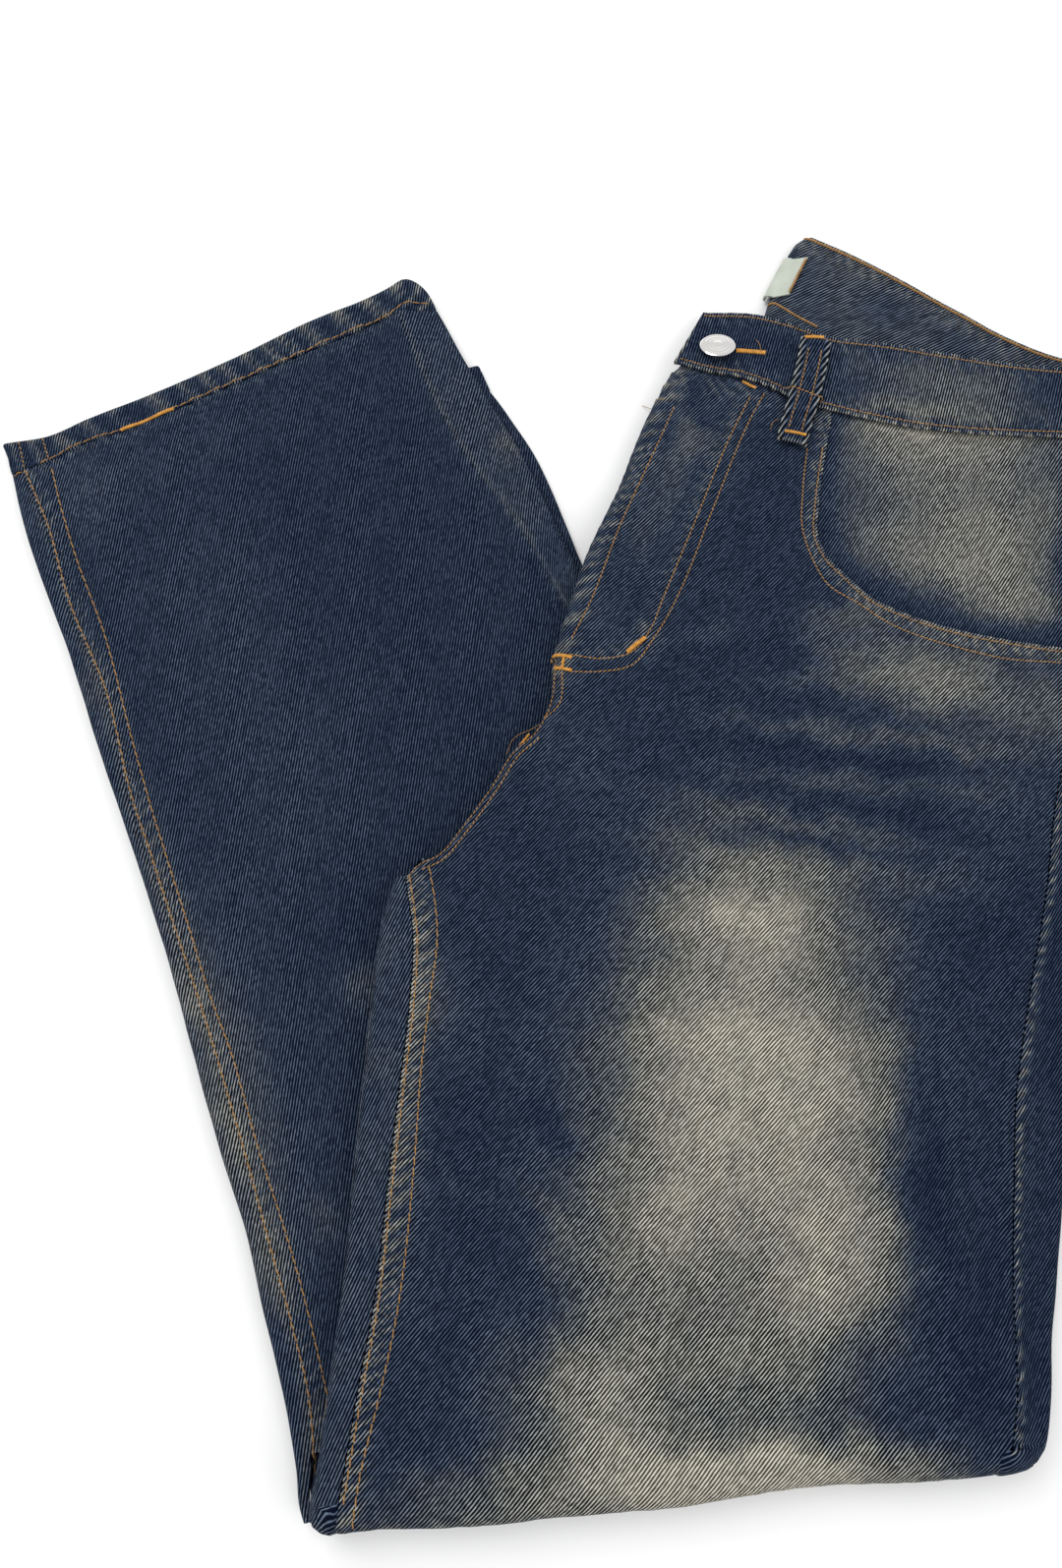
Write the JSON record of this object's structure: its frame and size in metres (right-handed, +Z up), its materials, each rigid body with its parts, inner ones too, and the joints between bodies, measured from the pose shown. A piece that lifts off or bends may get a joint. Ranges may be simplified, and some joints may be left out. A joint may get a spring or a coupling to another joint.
{
  "type": "jeans",
  "caption": "Baggy faded denim jeans folded in half lengthwise with both legs folded under at the knee, lying front side up",
  "frame": {"origin": "on the table under the middle of the folded jeans", "axes": "+Y from the knee fold towards the waist, +X towards the side seam of the upper leg, +Z up from the table"},
  "size_m": [0.5424, 0.5814, 0.0256],
  "materials": {
    "indigo_denim": "cotton twill, dark indigo with soft wash marks",
    "faded_denim": "cotton twill, washed out to a greyish beige",
    "button_metal": "pale plated metal, softly polished",
    "label_weave": "plain woven tape"
  },
  "bodies": {
    "root": {"left_front": "indigo_denim", "left_back_side": "indigo_denim", "left_back_inseam": "indigo_denim", "right_front_edge": "indigo_denim", "right_back_inseam": "indigo_denim", "right_front_lower": "indigo_denim", "right_back_lower_inseam": "indigo_denim", "right_back_lower_side": "indigo_denim", "right_hem": "indigo_denim", "left_hem": "indigo_denim", "waistband_front": "indigo_denim", "waistband_back": "indigo_denim", "belt_loop": "indigo_denim", "button": "button_metal", "label": "label_weave", "pocket_facing": "faded_denim", "hidden_layers": "indigo_denim"}
  },
  "joints": []
}
